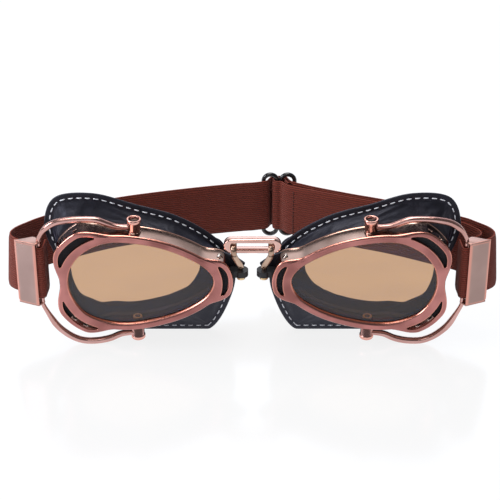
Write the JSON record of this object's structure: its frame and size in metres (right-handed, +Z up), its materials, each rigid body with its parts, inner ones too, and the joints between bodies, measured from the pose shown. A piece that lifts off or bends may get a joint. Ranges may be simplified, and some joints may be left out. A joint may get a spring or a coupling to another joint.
{
  "type": "steampunk goggles",
  "caption": "Aviator-style goggles with vented copper cups, amber lenses, padded leather cushions, swinging bails and an adjustable elastic strap.",
  "frame": {"origin": "centre of the footprint on the surface the goggles stand on, midway between the cups", "axes": "+Z up, -Y the way the lenses face, +X to the wearer's left as seen from in front on the right"},
  "size_m": [0.21, 0.0698, 0.0696],
  "materials": {
    "copper_plate": "antique copper plated zinc casting, satin",
    "copper_bail": "antique copper plated steel, satin",
    "copper_clip": "brushed antique copper plated sheet",
    "copper_hook": "antique copper plated steel strip",
    "copper_link": "antique copper plated steel, polished",
    "amber_lens": "amber tinted polycarbonate",
    "black_rubber": "moulded black rubber",
    "black_leather": "black cowhide with white stitching",
    "screw_steel": "darkened steel",
    "brass": "turned brass",
    "blackened_metal": "black oxide",
    "elastic": "ribbed brown elastic webbing",
    "slider_metal": "black painted wire"
  },
  "bodies": {
    "root": {"nose_hook_left": "copper_hook", "nose_hook_right": "copper_hook", "hook_nut_left": "brass", "hook_nut_right": "brass", "strap_main": "elastic", "strap_return": "elastic"},
    "bridge": {"bridge_link": "copper_link"},
    "cup_left": {"cup_frame_left": "copper_plate", "lens_left": "amber_lens", "lens_gasket_left": "black_rubber", "cushion_ring_left": "black_rubber", "cushion_left": "black_leather", "nose_tab_left": "black_leather", "nose_lug_left": "blackened_metal", "pivot_screws_left": "screw_steel", "pivot_nuts_left": "brass"},
    "bail_left": {"bail_left": "copper_bail"},
    "clip_left": {"strap_clip_left": "copper_clip"},
    "cup_right": {"cup_frame_right": "copper_plate", "lens_right": "amber_lens", "lens_gasket_right": "black_rubber", "cushion_ring_right": "black_rubber", "cushion_right": "black_leather", "nose_tab_right": "black_leather", "nose_lug_right": "blackened_metal", "pivot_screws_right": "screw_steel", "pivot_nuts_right": "brass"},
    "bail_right": {"bail_right": "copper_bail"},
    "clip_right": {"strap_clip_right": "copper_clip"},
    "slider": {"slider": "slider_metal"}
  },
  "joints": [
    {"name": "link_flip", "type": "hinge", "parent": "root", "child": "bridge", "pos_m": [0, -0.02845, 0.0477], "axis": [1, 0, 0], "range_deg": [-75, 75]},
    {"name": "nose_swivel_left", "type": "hinge", "parent": "root", "child": "cup_left", "pos_m": [-0.0049, -0.02845, 0.038], "axis": [0, 0, 1], "range_deg": [-25, 20], "deforming": ["strap_main", "strap_return"]},
    {"name": "bail_swing_left", "type": "hinge", "parent": "cup_left", "child": "bail_left", "pos_m": [-0.05, -0.02845, 0.035], "axis": [0, 0, 1], "range_deg": [-6, 60], "deforming": ["strap_main", "strap_return"]},
    {"name": "clip_turn_left", "type": "hinge", "parent": "bail_left", "child": "clip_left", "pos_m": [-0.0909, -0.02845, 0.0366], "axis": [0, 0, 1], "range_deg": [-25, 25], "deforming": ["strap_main", "strap_return"]},
    {"name": "nose_swivel_right", "type": "hinge", "parent": "root", "child": "cup_right", "pos_m": [0.0049, -0.02845, 0.038], "axis": [0, 0, 1], "range_deg": [-20, 25], "deforming": ["strap_main", "strap_return"]},
    {"name": "bail_swing_right", "type": "hinge", "parent": "cup_right", "child": "bail_right", "pos_m": [0.05, -0.02845, 0.035], "axis": [0, 0, 1], "range_deg": [-60, 6], "deforming": ["strap_main", "strap_return"]},
    {"name": "clip_turn_right", "type": "hinge", "parent": "bail_right", "child": "clip_right", "pos_m": [0.0909, -0.02845, 0.0366], "axis": [0, 0, 1], "range_deg": [-25, 25], "deforming": ["strap_main", "strap_return"]},
    {"name": "slider_slide", "type": "slide", "parent": "root", "child": "slider", "axis": [0.9341, -0.357, 0], "range_m": [0, 0.03], "deforming": ["strap_main", "strap_return"]}
  ]
}
